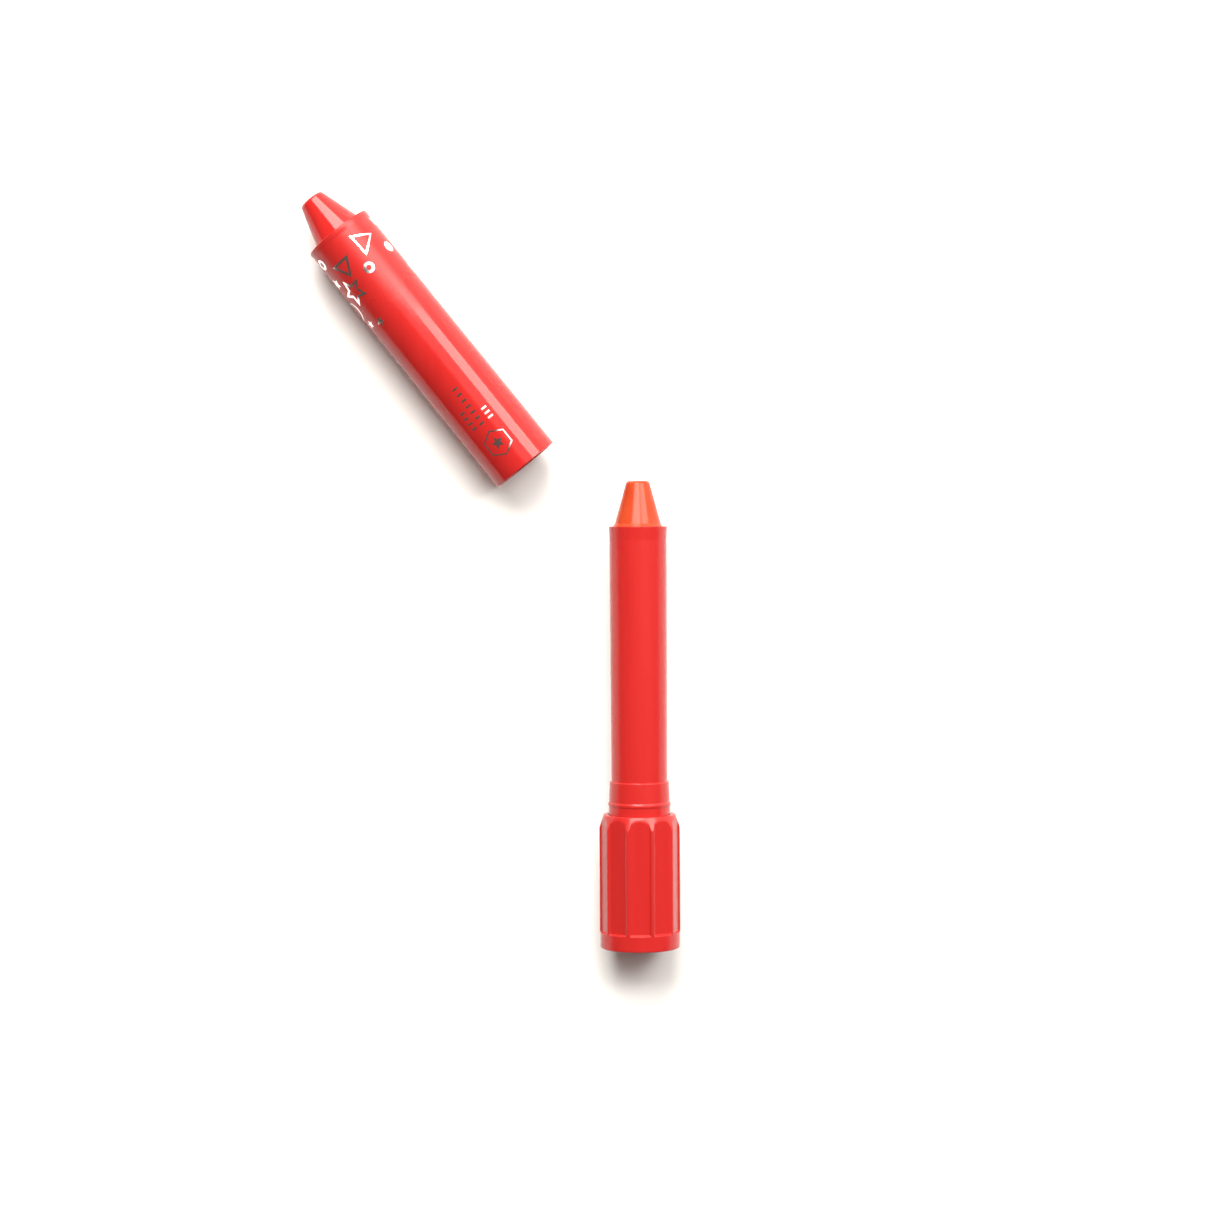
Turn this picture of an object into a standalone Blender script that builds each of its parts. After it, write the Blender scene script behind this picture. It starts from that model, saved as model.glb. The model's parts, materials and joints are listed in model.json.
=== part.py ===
"""Twist-up crayon with its cap off, lying on a table.

Turning the fluted knob turns a lead screw. Two pips inside the wax cup's stem ride in the
screw's thread, and the cup's flange is keyed on ribs inside the barrel, so the wax moves out.

Lengths are in metres, +Z is up, and the crayon's axis lies along +Y. Each turned piece is
described by stations (distance along its axis, radius). The crayon's stations start at the
outer face of the tail plug, and the cap's stations start at its open mouth.
"""
import math

import bmesh
import bpy
from mathutils import Matrix, Vector

MM = 0.001

# ---- driving dimensions ---------------------------------------------------------------

SEGMENTS = 40                        # sides of a large turned piece
SMALL_SEGMENTS = 24                  # sides of the screw's journal and flange
CLEARANCE = 0.3 * MM                 # between pieces that meet
EDGE = 0.2 * MM                      # small chamfer on a moulded edge
LEAD_IN = 0.4 * MM                   # chamfer that helps one piece into another
SINK = 0.4 * MM                      # how far a joined feature reaches into its parent
SHARP_ANGLE = math.radians(35.0)     # steeper folds than this keep a hard edge

KNOB_LENGTH = 33.4 * MM
KNOB_RADIUS = 10.05 * MM             # at the lands between the flutes
KNOB_TOP_RADIUS = 9.0 * MM
KNOB_CHAMFER_LENGTH = 3.2 * MM
KNOB_RING_RADIUS = 9.96 * MM         # the plain ring at the tail, which rests on the table
KNOB_RING_LENGTH = 3.9 * MM
KNOB_EDGE_ROUND = 0.9 * MM
KNOB_BORE_RADIUS = 8.3 * MM
KNOB_LIP_RADIUS = 7.97 * MM          # the snap lip inside the knob's open end
KNOB_LIP_LENGTH = 2.4 * MM
KNOB_RING_STEP = 0.3 * MM            # from the tail ring down to the flutes
FLUTE_COUNT = 10
FLUTE_HALF_ANGLE = math.radians(16.2)
FLUTE_FLOOR_HALF_ANGLE = math.radians(14.0)
FLUTE_FLOOR = 9.27 * MM              # from the axis to the flute's flat floor
FLUTE_FLOOR_STEPS = 4                # facets across one floor

WEB_BOTTOM = 6.0 * MM                # the knob's inner web, which holds the screw's foot
WEB_TOP = 8.0 * MM
FOOT_SIDE = 4.0 * MM                 # the screw's square foot

PLUG_RADIUS = 8.9 * MM
PLUG_THICKNESS = 1.2 * MM
PLUG_SKIRT_RADIUS = 7.9 * MM
PLUG_SKIRT_LENGTH = 3.6 * MM
PLUG_SKIRT_WALL = 0.9 * MM

BARREL_BOTTOM = 9.8 * MM
BARREL_FLOOR_TOP = 11.5 * MM
BARREL_BORE = 6.35 * MM
BARREL_HOLE = 2.85 * MM              # in the barrel's floor, round the screw
NECK_RADIUS = 7.3 * MM
BARREL_SNAP_RADIUS = 8.12 * MM       # the ring that the knob's lip snaps over
BARREL_SNAP_LENGTH = 1.0 * MM
BARREL_SNAP_RAMP = 0.6 * MM
RING_SEAT = 22.8 * MM                # the middle of the friction ring's seat
RING_SEAT_HALF = 0.65 * MM
RING_SEAT_RADIUS = 7.85 * MM
RING_SEAT_WALL = 0.5 * MM            # each of the two flanges beside the seat
COLLAR_RADIUS = 7.67 * MM
BEAD_AT = 36.0 * MM
BEAD_RADIUS = 7.81 * MM
BEAD_HALF = 0.2 * MM                 # half the bead's crest
BEAD_RAMP = 0.4 * MM                 # each of the bead's flanks
COLLAR_RAMP = 0.4 * MM               # from the neck out to the collar, inside the knob
COLLAR_TOP = 41.6 * MM
COLLAR_TOP_RADIUS = 7.40 * MM
TUBE_BASE_RADIUS = 6.95 * MM
TUBE_RADIUS = 7.16 * MM              # just behind the lip
LIP_RADIUS = 7.33 * MM
LIP_FLARE = 3.0 * MM                 # length over which the tube widens to the lip
MOUTH = 105.4 * MM

RIB_COUNT = 4                        # the barrel's guide ribs
RIB_WIDTH = 1.2 * MM
RIB_INNER_RADIUS = 5.35 * MM
RIB_TOP = 54.7 * MM

RING_MAJOR = 7.81 * MM               # the friction ring
RING_MINOR = 0.36 * MM

LEAD = 5.0 * MM                      # advance of the wax in one turn of the knob
THREAD_STARTS = 2
THREAD_CORE = 1.7 * MM
THREAD_CREST = 2.5 * MM
THREAD_START = 12.0 * MM
THREAD_END = 54.2 * MM
ROWS_PER_TURN = 12
CREST_PARTS = (-0.115, 0.115)        # points across one crest, as shares of one start's pitch
ROOT_PARTS = (0.2, 0.4, 0.6, 0.8)    # points across the root after it
JOURNAL_RADIUS = 2.3 * MM
FLANGE_RADIUS = 4.2 * MM
HUB_RADIUS = 4.5 * MM                # the disc that closes the web round the square socket
HUB_INSET = 0.2 * MM                 # the disc is this much thinner than the web, each side
FLANGE_BOTTOM = WEB_TOP + CLEARANCE
FLANGE_TOP = BARREL_BOTTOM - CLEARANCE

CUP_FLANGE_BOTTOM = 13.1 * MM
CUP_FLANGE_LENGTH = 3.0 * MM
CUP_RADIUS = 6.02 * MM
CUP_FLOOR_BOTTOM = 56.3 * MM
CUP_FLOOR_TOP = 57.8 * MM
CUP_TOP = 65.0 * MM
CUP_WALL = 0.75 * MM
CUP_FILLET = 0.8 * MM                # where the flange runs into the stem
CUP_BASE_TAPER = 1.2 * MM            # where the stem widens to the cup
STEM_RADIUS = 4.0 * MM
STEM_BORE = 2.85 * MM
STEM_BORE_END = 56.0 * MM
PIP_RADIUS = 0.38 * MM               # the two pips that ride in the thread
PIP_TIP = 2.0 * MM                   # how near the axis they reach
PIP_AT = 14.6 * MM
PIP_SIDES = 10
NOTCH_WIDTH = RIB_WIDTH + 2 * CLEARANCE

WAX_RADIUS = 6.0 * MM
WAX_SHOULDER_RADIUS = 6.2 * MM
WAX_SHOULDER_BELOW = 0.6 * MM        # the shoulder's reach inside the barrel's mouth
WAX_SHOULDER_ABOVE = 0.15 * MM       # and beyond it
WAX_CONE_BASE = 106.1 * MM
WAX_CONE_RADIUS = 5.75 * MM
WAX_TIP = 116.8 * MM
WAX_TIP_RADIUS = 2.80 * MM
WAX_TIP_ROUND = 0.6 * MM

CAP_LENGTH = 85.3 * MM
CAP_MOUTH_RADIUS = 9.03 * MM
CAP_MID_RADIUS = 8.87 * MM
CAP_NECK_RADIUS = 8.76 * MM          # just short of the shoulder's rim
CAP_RIM_RADIUS = 8.86 * MM
CAP_RIM_LENGTH = 0.7 * MM
CAP_RIM_RAMP = 0.9 * MM
CAP_SHOULDER = 74.5 * MM
CAP_CONE_RADIUS = 6.62 * MM
CAP_NOSE_RADIUS = 3.15 * MM
CAP_NOSE_ROUND = 1.0 * MM
CAP_BORE = 7.78 * MM
CAP_GROOVE_RADIUS = 8.0 * MM         # where the barrel's bead snaps in
CAP_GROOVE_AT = BEAD_AT - KNOB_LENGTH
CAP_GROOVE_HALF = 0.6 * MM
CAP_GROOVE_RAMP = 0.6 * MM
CAP_MOUTH_LEAD_IN = 0.5 * MM
CAP_BORE_END = 72.9 * MM
CAP_BORE_END_RADIUS = 7.55 * MM
CAP_INNER_CONE_RADIUS = 5.65 * MM
CAP_INNER_NOSE_RADIUS = 2.75 * MM
CAP_INNER_RAMP = 0.8 * MM            # from the bore in to the cone
CAP_INNER_END = 84.1 * MM

# where the loose cap lies, seen from above, measured from the tail plug's face
CAP_MOUTH_X = -28.0 * MM
CAP_MOUTH_Y = 120.9 * MM
CAP_TURN = math.radians(38.58)       # between the cap's axis and the crayon's
CAP_GAP = 2.4 * MM                   # ahead of the wax, once the cap is swung into line

RED = (0.80, 0.035, 0.035, 1.0)
DEEP_RED = (0.78, 0.034, 0.034, 1.0)
ORANGE = (1.0, 0.13, 0.04, 1.0)
NATURAL_WHITE = (0.82, 0.80, 0.76, 1.0)
IVORY = (0.80, 0.76, 0.66, 1.0)
BLACK = (0.02, 0.02, 0.02, 1.0)


# ---- helpers --------------------------------------------------------------------------

def clear_scene():
    for item in list(bpy.data.objects):
        bpy.data.objects.remove(item, do_unlink=True)


def material(name, colour, roughness, metallic=0.0):
    made = bpy.data.materials.new(name)
    made.use_nodes = True
    shader = made.node_tree.nodes["Principled BSDF"]
    shader.inputs["Base Color"].default_value = colour
    shader.inputs["Roughness"].default_value = roughness
    shader.inputs["Metallic"].default_value = metallic
    made.diffuse_color = colour
    return made


def add_object(name, mesh_builder, look=None):
    """Turn a bmesh into a linked object and shade its round faces smooth."""
    mesh = bpy.data.meshes.new(name)
    bmesh.ops.recalc_face_normals(mesh_builder, faces=mesh_builder.faces)
    mesh_builder.to_mesh(mesh)
    mesh_builder.free()
    mesh.shade_smooth()
    mesh.set_sharp_from_angle(angle=SHARP_ANGLE)
    made = bpy.data.objects.new(name, mesh)
    bpy.context.scene.collection.objects.link(made)
    if look:
        mesh.materials.append(look)
    return made


def ring_point(station, radius, angle):
    return Vector((radius * math.cos(angle), station, radius * math.sin(angle)))


def turned(profile, segments=SEGMENTS):
    """A body turned about +Y from (station, radius) points. Radius 0 closes on the axis.

    The profile is a loop. It either starts and ends on the axis, or it goes once round
    the wall of a piece with a hole through it.
    """
    made = bmesh.new()
    rings = []
    for station, radius in profile:
        if radius == 0:
            rings.append([made.verts.new((0, station, 0))])
            continue
        angles = [math.tau * i / segments for i in range(segments)]
        rings.append([made.verts.new(ring_point(station, radius, a)) for a in angles])
    pairs = list(zip(rings, rings[1:]))
    if len(rings[0]) > 1:
        pairs.append((rings[-1], rings[0]))
    for first, second in pairs:
        join_rings(made, first, second, segments)
    return made


def join_rings(made, first, second, segments):
    for i in range(segments):
        j = (i + 1) % segments
        if len(first) == 1:
            made.faces.new((first[0], second[i], second[j]))
        elif len(second) == 1:
            made.faces.new((first[j], first[i], second[0]))
        else:
            made.faces.new((first[i], first[j], second[j], second[i]))


def rounded(centre_station, centre_radius, size, start_deg, end_deg, steps=4):
    """Stations of an arc in the (station, radius) plane. 0 degrees points towards the nose."""
    points = []
    for i in range(steps + 1):
        angle = math.radians(start_deg + (end_deg - start_deg) * i / steps)
        station = centre_station + size * math.cos(angle)
        points.append((station, centre_radius + size * math.sin(angle)))
    return points


def cutter_object(name, mesh_builder):
    """An object that only takes part in a Boolean."""
    made = add_object(name, mesh_builder)
    made.hide_render = True
    made.display_type = "WIRE"
    return made


def box_cutter(name, size, place, turn=None):
    """A plain box for a Boolean, in the crayon's own frame."""
    made = bmesh.new()
    bmesh.ops.create_cube(made, size=1.0)
    bmesh.ops.scale(made, vec=size, verts=made.verts)
    bmesh.ops.translate(made, vec=place, verts=made.verts)
    if turn:
        bmesh.ops.rotate(made, cent=(0, 0, 0), matrix=turn, verts=made.verts)
    return cutter_object(name, made)


def boolean(target, cutter, operation):
    step = target.modifiers.new(f"{operation.lower()} {cutter.name}", "BOOLEAN")
    step.operation = operation
    step.object = cutter


def about_axis(angle):
    return Matrix.Rotation(angle, 3, "Y")


# ---- the crayon's pieces --------------------------------------------------------------

def barrel(look):
    outer = [
        (BARREL_BOTTOM, BARREL_HOLE),
        (BARREL_BOTTOM, NECK_RADIUS - LEAD_IN),
        (BARREL_BOTTOM + LEAD_IN, NECK_RADIUS),
    ]
    for side in (-1, 1):
        seat = RING_SEAT + side * RING_SEAT_HALF
        first, second = sorted((seat, seat + side * RING_SEAT_WALL))
        outer += [(first, NECK_RADIUS), (first, RING_SEAT_RADIUS)]
        outer += [(second, RING_SEAT_RADIUS), (second, NECK_RADIUS)]
    snap_top = KNOB_LENGTH - KNOB_LIP_LENGTH - CLEARANCE
    outer += [
        (snap_top - BARREL_SNAP_LENGTH - BARREL_SNAP_RAMP, NECK_RADIUS),
        (snap_top - BARREL_SNAP_LENGTH, BARREL_SNAP_RADIUS),
        (snap_top, BARREL_SNAP_RADIUS),
        (snap_top, NECK_RADIUS),
        (KNOB_LENGTH - EDGE - COLLAR_RAMP, NECK_RADIUS),
        (KNOB_LENGTH - EDGE, COLLAR_RADIUS),
        (BEAD_AT - BEAD_HALF - BEAD_RAMP, COLLAR_RADIUS),
        (BEAD_AT - BEAD_HALF, BEAD_RADIUS),
        (BEAD_AT + BEAD_HALF, BEAD_RADIUS),
        (BEAD_AT + BEAD_HALF + BEAD_RAMP, COLLAR_RADIUS - EDGE / 2),
        (COLLAR_TOP - EDGE, COLLAR_TOP_RADIUS),
        (COLLAR_TOP, COLLAR_TOP_RADIUS - EDGE),
        (COLLAR_TOP, TUBE_BASE_RADIUS),
        (MOUTH - EDGE - LIP_FLARE, TUBE_RADIUS),
        (MOUTH - EDGE, LIP_RADIUS),
        (MOUTH, LIP_RADIUS - EDGE),
    ]
    inner = [
        (MOUTH, BARREL_BORE + EDGE),
        (MOUTH - LEAD_IN, BARREL_BORE),
        (BARREL_FLOOR_TOP, BARREL_BORE),
        (BARREL_FLOOR_TOP, BARREL_HOLE),
    ]
    made = add_object("barrel", turned(outer + inner), look)
    rib_height = BARREL_BORE + SINK - RIB_INNER_RADIUS
    rib_bottom = BARREL_FLOOR_TOP - SINK
    size = (rib_height, RIB_TOP - rib_bottom, RIB_WIDTH)
    place = (RIB_INNER_RADIUS + rib_height / 2, (RIB_TOP + rib_bottom) / 2, 0)
    for i in range(RIB_COUNT):
        angle = math.tau * (i + 0.5) / RIB_COUNT
        boolean(made, box_cutter(f"rib_{i}", size, place, about_axis(angle)), "UNION")
    return made


def flute_radius(angle):
    """The knob's outer radius at an angle: flat-floored flutes with steep sides, and lands."""
    pitch = math.tau / FLUTE_COUNT
    off_centre = abs((angle - math.pi / 2 + pitch / 2) % pitch - pitch / 2)
    floor = FLUTE_FLOOR / math.cos(off_centre)
    up_the_side = (off_centre - FLUTE_FLOOR_HALF_ANGLE) / (FLUTE_HALF_ANGLE - FLUTE_FLOOR_HALF_ANGLE)
    return floor + (KNOB_RADIUS - floor) * min(max(up_the_side, 0.0), 1.0)


def knob_angles():
    """Angles round the knob: one step for each flute's side, even steps over its floor."""
    pitch = math.tau / FLUTE_COUNT
    step = 2 * FLUTE_FLOOR_HALF_ANGLE / FLUTE_FLOOR_STEPS
    angles = []
    for i in range(FLUTE_COUNT):
        centre = math.pi / 2 + i * pitch
        floor_start = centre - FLUTE_FLOOR_HALF_ANGLE
        angles.append(centre - FLUTE_HALF_ANGLE)
        angles += [floor_start + step * k for k in range(FLUTE_FLOOR_STEPS + 1)]
        angles.append(centre + FLUTE_HALF_ANGLE)
    return angles


def twist_knob(look):
    """The outer wall follows the flutes; the top chamfer is the lower of flute and cone."""
    angles = knob_angles()
    made = bmesh.new()
    chamfer_bottom = KNOB_LENGTH - KNOB_CHAMFER_LENGTH
    slope = (KNOB_RADIUS - KNOB_TOP_RADIUS) / KNOB_CHAMFER_LENGTH

    def wall_ring(station, radius_of):
        return [made.verts.new(ring_point(station, radius_of(a), a)) for a in angles]

    def plain_ring(station, radius):
        return wall_ring(station, lambda a: radius)

    edge = rounded(KNOB_EDGE_ROUND, KNOB_RING_RADIUS - KNOB_EDGE_ROUND, KNOB_EDGE_ROUND, 180, 90, 2)
    rings = [plain_ring(station, radius) for station, radius in edge]
    rings += [
        plain_ring(KNOB_RING_LENGTH, KNOB_RING_RADIUS),
        wall_ring(KNOB_RING_LENGTH + KNOB_RING_STEP, flute_radius),
    ]
    scallop = [
        made.verts.new(ring_point(
            chamfer_bottom + (KNOB_RADIUS - flute_radius(a)) / slope, flute_radius(a), a))
        for a in angles
    ]
    rings += [
        scallop,
        plain_ring(KNOB_LENGTH - EDGE, KNOB_TOP_RADIUS),
        plain_ring(KNOB_LENGTH, KNOB_TOP_RADIUS - EDGE),
        plain_ring(KNOB_LENGTH, KNOB_LIP_RADIUS + EDGE),
        plain_ring(KNOB_LENGTH - EDGE, KNOB_LIP_RADIUS),
        plain_ring(KNOB_LENGTH - KNOB_LIP_LENGTH, KNOB_LIP_RADIUS),
        plain_ring(KNOB_LENGTH - KNOB_LIP_LENGTH, KNOB_BORE_RADIUS),
        plain_ring(WEB_TOP, KNOB_BORE_RADIUS),
        plain_ring(WEB_TOP, HUB_RADIUS - SINK),
        plain_ring(WEB_BOTTOM, HUB_RADIUS - SINK),
        plain_ring(WEB_BOTTOM, PLUG_SKIRT_RADIUS + CLEARANCE),
        plain_ring(PLUG_THICKNESS + CLEARANCE, PLUG_SKIRT_RADIUS + CLEARANCE),
        plain_ring(PLUG_THICKNESS + CLEARANCE, PLUG_RADIUS + EDGE),
        plain_ring(EDGE / 2, PLUG_RADIUS + EDGE),
    ]
    for first, second in zip(rings, rings[1:] + rings[:1]):
        join_rings(made, first, second, len(angles))
    knob = add_object("twist_knob", made, look)
    socket = FOOT_SIDE + 2 * CLEARANCE
    hub_bottom = WEB_BOTTOM + HUB_INSET
    hub_top = WEB_TOP - HUB_INSET
    hub = [(hub_bottom, 0), (hub_bottom, HUB_RADIUS), (hub_top, HUB_RADIUS), (hub_top, 0)]
    boolean(knob, cutter_object("knob_hub", turned(hub, SMALL_SEGMENTS)), "UNION")
    through = 2 * (WEB_TOP - WEB_BOTTOM)
    middle = (WEB_BOTTOM + WEB_TOP) / 2
    hole = box_cutter("knob_socket", (socket, through, socket), (0, middle, 0))
    boolean(knob, hole, "DIFFERENCE")
    return knob


def tail_plug(look):
    skirt_inner = PLUG_SKIRT_RADIUS - PLUG_SKIRT_WALL
    profile = [
        (0, 0),
        (0, PLUG_RADIUS - EDGE),
        (EDGE, PLUG_RADIUS),
        (PLUG_THICKNESS, PLUG_RADIUS),
        (PLUG_THICKNESS, PLUG_SKIRT_RADIUS),
        (PLUG_SKIRT_LENGTH - LEAD_IN, PLUG_SKIRT_RADIUS),
        (PLUG_SKIRT_LENGTH, PLUG_SKIRT_RADIUS - LEAD_IN),
        (PLUG_SKIRT_LENGTH, skirt_inner),
        (PLUG_THICKNESS, skirt_inner),
        (PLUG_THICKNESS, 0),
    ]
    return add_object("tail_plug", turned(profile), look)


def friction_ring(look):
    profile = rounded(RING_SEAT, RING_MAJOR, RING_MINOR, 0, 300, 5)
    return add_object("friction_ring", turned(profile), look)


def thread_section():
    """(radius, angle) points round the screw: a flat crest and a flat root for each start."""
    share = math.tau / THREAD_STARTS
    points = []
    for start in range(THREAD_STARTS):
        points += [(THREAD_CREST, (start + part) * share) for part in CREST_PARTS]
        points += [(THREAD_CORE, (start + part) * share) for part in ROOT_PARTS]
    return points


def lead_screw(look):
    """Left-hand twin thread: turning the screw about +Y carries the pips towards +Y."""
    made = bmesh.new()
    section = thread_section()
    count = len(section)
    rows = round((THREAD_END - THREAD_START) / LEAD * ROWS_PER_TURN)
    rings = []
    for row in range(rows + 1):
        station = THREAD_START + (THREAD_END - THREAD_START) * row / rows
        turn = thread_angle(station)
        rings.append([made.verts.new(ring_point(station, r, a + turn)) for r, a in section])
    for first, second in zip(rings, rings[1:]):
        join_rings(made, first, second, count)
    made.faces.new(rings[0])
    made.faces.new(rings[-1])
    screw = add_object("lead_screw", made, look)
    core = FOOT_SIDE / 2 - EDGE
    lower = turned([
        (WEB_BOTTOM - SINK, 0),
        (WEB_BOTTOM - SINK, core),
        (FLANGE_BOTTOM, core),
        (FLANGE_BOTTOM, FLANGE_RADIUS),
        (FLANGE_TOP, FLANGE_RADIUS),
        (FLANGE_TOP, JOURNAL_RADIUS),
        (THREAD_START + SINK, JOURNAL_RADIUS),
        (THREAD_START + 2 * SINK, THREAD_CORE - EDGE),
        (THREAD_START + 2 * SINK, 0),
    ], SMALL_SEGMENTS)
    boolean(screw, cutter_object("screw_journal", lower), "UNION")
    foot_bottom = WEB_BOTTOM - 1.5 * SINK
    foot_top = FLANGE_BOTTOM + SINK
    size = (FOOT_SIDE, foot_top - foot_bottom, FOOT_SIDE)
    boolean(screw, box_cutter("screw_foot", size, (0, (foot_top + foot_bottom) / 2, 0)), "UNION")
    return screw


def thread_angle(station):
    """Angle of the first crest at a station, measured from +X towards +Z.

    A turn about +Y by the right-hand rule takes +Z towards +X, so it lowers this angle.
    The crest angle grows with the station, and a pip held at one angle is carried along +Y.
    """
    return math.tau * (station - THREAD_START) / LEAD


def groove_angle(station):
    """The middle of a groove between two crests at a station."""
    return thread_angle(station) + math.pi / THREAD_STARTS


def wax_cup(look):
    inner = CUP_RADIUS - CUP_WALL
    flange_top = CUP_FLANGE_BOTTOM + CUP_FLANGE_LENGTH
    profile = [
        (CUP_FLANGE_BOTTOM, STEM_BORE),
        (CUP_FLANGE_BOTTOM, CUP_RADIUS),
        (flange_top, CUP_RADIUS),
        (flange_top + CUP_FILLET, STEM_RADIUS),
        (CUP_FLOOR_BOTTOM - CUP_BASE_TAPER, STEM_RADIUS),
        (CUP_FLOOR_BOTTOM, CUP_RADIUS - LEAD_IN),
        (CUP_FLOOR_BOTTOM + LEAD_IN, CUP_RADIUS),
        (CUP_TOP, CUP_RADIUS),
        (CUP_TOP, inner),
        (CUP_FLOOR_TOP, inner),
        (CUP_FLOOR_TOP, 0),
        (STEM_BORE_END, 0),
        (STEM_BORE_END, STEM_BORE),
    ]
    made = add_object("wax_cup", cup_body(profile), look)
    notch_floor = RIB_INNER_RADIUS - CLEARANCE
    notch_depth = CUP_RADIUS + SINK - notch_floor
    place_x = notch_floor + notch_depth / 2
    size = (notch_depth, 2 * CUP_FLANGE_LENGTH, NOTCH_WIDTH)
    for i in range(RIB_COUNT):
        angle = math.tau * (i + 0.5) / RIB_COUNT
        place = (place_x, CUP_FLANGE_BOTTOM + CUP_FLANGE_LENGTH / 2, 0)
        boolean(made, box_cutter(f"notch_{i}", size, place, about_axis(angle)), "DIFFERENCE")
    for i in range(THREAD_STARTS):
        boolean(made, pip(i), "UNION")
    return made


def cup_body(profile):
    """The cup is a loop that starts and ends at its stem's mouth and crosses the axis once."""
    made = bmesh.new()
    angles = [math.tau * i / SEGMENTS for i in range(SEGMENTS)]
    rings = []
    for station, radius in profile:
        if radius == 0:
            rings.append([made.verts.new((0, station, 0))])
        else:
            rings.append([made.verts.new(ring_point(station, radius, a)) for a in angles])
    for first, second in zip(rings, rings[1:] + rings[:1]):
        if len(first) > 1 or len(second) > 1:
            join_rings(made, first, second, SEGMENTS)
    return made


def pip(index):
    """A short round pin that points at the axis, in the middle of a thread groove."""
    made = bmesh.new()
    length = STEM_BORE + SINK - PIP_TIP
    bmesh.ops.create_cone(made, cap_ends=True, segments=PIP_SIDES, radius1=PIP_RADIUS,
                          radius2=PIP_RADIUS, depth=length)
    middle = PIP_TIP + length / 2
    bmesh.ops.translate(made, vec=(0, 0, middle), verts=made.verts)
    angle = groove_angle(PIP_AT) + math.tau * index / THREAD_STARTS
    turn = about_axis(math.pi / 2 - angle)
    bmesh.ops.rotate(made, cent=(0, 0, 0), matrix=turn, verts=made.verts)
    bmesh.ops.translate(made, vec=(0, PIP_AT, 0), verts=made.verts)
    return cutter_object(f"pip_{index}", made)


def wax_stick(look):
    in_cup = CUP_RADIUS - CUP_WALL - CLEARANCE
    slope = math.atan2(WAX_CONE_RADIUS - WAX_TIP_RADIUS, WAX_TIP - WAX_CONE_BASE)
    round_radius = WAX_TIP_RADIUS - WAX_TIP_ROUND * math.tan((math.pi / 2 - slope) / 2)
    profile = [
        (CUP_FLOOR_TOP + CLEARANCE, 0),
        (CUP_FLOOR_TOP + CLEARANCE, in_cup),
        (CUP_TOP + CLEARANCE, in_cup),
        (CUP_TOP + CLEARANCE, WAX_RADIUS),
        (MOUTH - WAX_SHOULDER_BELOW - LEAD_IN, WAX_RADIUS),
        (MOUTH - WAX_SHOULDER_BELOW, WAX_SHOULDER_RADIUS),
        (MOUTH + WAX_SHOULDER_ABOVE, WAX_SHOULDER_RADIUS),
        (WAX_CONE_BASE, WAX_CONE_RADIUS),
    ]
    profile += rounded(WAX_TIP - WAX_TIP_ROUND, round_radius, WAX_TIP_ROUND,
                       90 - math.degrees(slope), 0)
    profile += [(WAX_TIP, 0)]
    return add_object("wax_stick", turned(profile), look)


# ---- the cap --------------------------------------------------------------------------

def cap(look):
    slope = math.atan2(CAP_CONE_RADIUS - CAP_NOSE_RADIUS, CAP_LENGTH - CAP_SHOULDER)
    round_radius = CAP_NOSE_RADIUS - CAP_NOSE_ROUND * math.tan((math.pi / 2 - slope) / 2)
    outer = [
        (0, CAP_MOUTH_RADIUS - EDGE),
        (EDGE, CAP_MOUTH_RADIUS),
        (CAP_SHOULDER / 2, CAP_MID_RADIUS),
        (CAP_SHOULDER - CAP_RIM_LENGTH - CAP_RIM_RAMP, CAP_NECK_RADIUS),
        (CAP_SHOULDER - CAP_RIM_LENGTH, CAP_RIM_RADIUS),
        (CAP_SHOULDER - EDGE, CAP_RIM_RADIUS),
        (CAP_SHOULDER, CAP_RIM_RADIUS - EDGE),
        (CAP_SHOULDER, CAP_CONE_RADIUS),
    ]
    outer += rounded(CAP_LENGTH - CAP_NOSE_ROUND, round_radius, CAP_NOSE_ROUND,
                     90 - math.degrees(slope), 0)
    outer += [(CAP_LENGTH, 0)]
    inner = [
        (CAP_INNER_END, 0),
        (CAP_INNER_END, CAP_INNER_NOSE_RADIUS - LEAD_IN),
        (CAP_INNER_END - LEAD_IN, CAP_INNER_NOSE_RADIUS),
        (CAP_BORE_END + CAP_INNER_RAMP, CAP_INNER_CONE_RADIUS),
        (CAP_BORE_END, CAP_BORE_END_RADIUS),
        (CAP_GROOVE_AT + CAP_GROOVE_HALF + CAP_GROOVE_RAMP, CAP_BORE),
        (CAP_GROOVE_AT + CAP_GROOVE_HALF, CAP_GROOVE_RADIUS),
        (CAP_GROOVE_AT - CAP_GROOVE_HALF, CAP_GROOVE_RADIUS),
        (CAP_GROOVE_AT - CAP_GROOVE_HALF - CAP_GROOVE_RAMP, CAP_BORE),
        (CAP_MOUTH_LEAD_IN, CAP_BORE),
        (0, CAP_BORE + CAP_MOUTH_LEAD_IN),
    ]
    return add_object("cap", cup_body(outer + inner), look), outer


def cap_reach(outline):
    """How far the loose cap reaches to -X and to +Y, seen from above."""
    along = Vector((-math.sin(CAP_TURN), math.cos(CAP_TURN)))
    across = Vector((math.cos(CAP_TURN), math.sin(CAP_TURN)))
    mouth = Vector((CAP_MOUTH_X, CAP_MOUTH_Y))
    left = min((mouth + along * s - across * r).x for s, r in outline)
    far = max((mouth + along * s + across * r).y for s, r in outline)
    return left, far


def swing_centre():
    """Seen from above, the point about which CAP_TURN carries the cap into line.

    The turn is clockwise, so the point lies to the right of the mouth's way, at the
    distance where the way's ends are CAP_TURN apart.
    """
    mouth = Vector((CAP_MOUTH_X, CAP_MOUTH_Y))
    way = Vector((0, WAX_TIP + CAP_GAP)) - mouth
    to_the_right = Vector((way.y, -way.x))
    return mouth + way / 2 + to_the_right / (2 * math.tan(CAP_TURN / 2))


# ---- assembly -------------------------------------------------------------------------

def empty(name, place):
    made = bpy.data.objects.new(name, None)
    made.location = place
    bpy.context.scene.collection.objects.link(made)
    return made


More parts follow.
